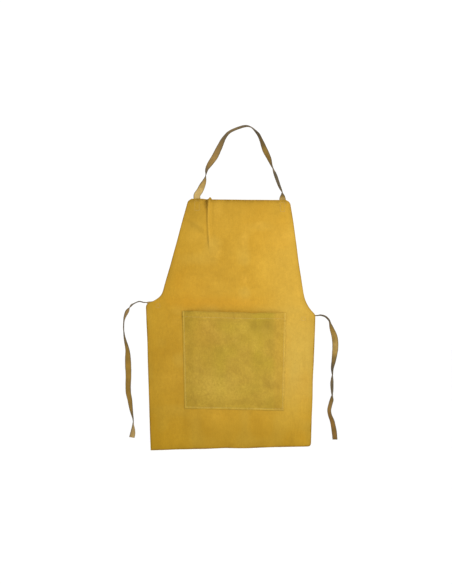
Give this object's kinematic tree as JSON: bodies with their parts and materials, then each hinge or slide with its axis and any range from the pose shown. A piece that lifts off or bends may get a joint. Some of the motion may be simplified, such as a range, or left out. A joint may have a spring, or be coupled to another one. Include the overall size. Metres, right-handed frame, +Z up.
{
  "type": "welding apron",
  "caption": "Split-hide welding apron with a patch pocket, a neck strap loop and a leather tie at each hip, hanging from its strap.",
  "frame": {"origin": "the point where the neck strap lies over its hook", "axes": "+Z up, +X to the right of someone who looks at the front, +Y towards the wearer"},
  "size_m": [0.7798, 0.041, 1.1773],
  "materials": {
    "apron_hide": "matte suede, golden yellow",
    "pocket_hide": "matte rough flesh side, olive yellow",
    "strap_leather": "matte suede, tan",
    "thread": "waxed cream thread"
  },
  "bodies": {
    "neck_strap": {"neck_strap": "strap_leather"},
    "apron": {"apron_panel": "apron_hide", "pocket_panel": "pocket_hide", "pocket_seam_needle_thread": "thread", "pocket_seam_bobbin_thread": "thread", "pocket_hem_needle_thread": "thread", "pocket_hem_bobbin_thread": "thread", "neck_strap_end_left": "strap_leather", "neck_strap_end_right": "strap_leather", "neck_strap_needle_thread_left": "thread", "neck_strap_needle_thread_right": "thread", "neck_strap_bobbin_thread_left": "thread", "neck_strap_bobbin_thread_right": "thread", "left_tie_end": "strap_leather", "left_tie_needle_thread": "thread", "left_tie_bobbin_thread": "thread", "right_tie_end": "strap_leather", "right_tie_needle_thread": "thread", "right_tie_bobbin_thread": "thread"},
    "left_tie": {"left_tie": "strap_leather"},
    "right_tie": {"right_tie": "strap_leather"}
  },
  "joints": [
    {"name": "apron_swing", "type": "hinge", "parent": "neck_strap", "child": "apron", "pos_m": [-0.019, 0.0022, -0.2615], "axis": [0.9999, 0, -0.0162], "range_deg": [-60, 60]},
    {"name": "left_tie_swing", "type": "hinge", "parent": "apron", "child": "left_tie", "pos_m": [-0.364, 0.0136, -0.6345], "axis": [1, 0, 0], "range_deg": [-90, 110]},
    {"name": "right_tie_swing", "type": "hinge", "parent": "apron", "child": "right_tie", "pos_m": [0.26, 0.0136, -0.6815], "axis": [1, 0, 0], "range_deg": [-90, 110]}
  ]
}
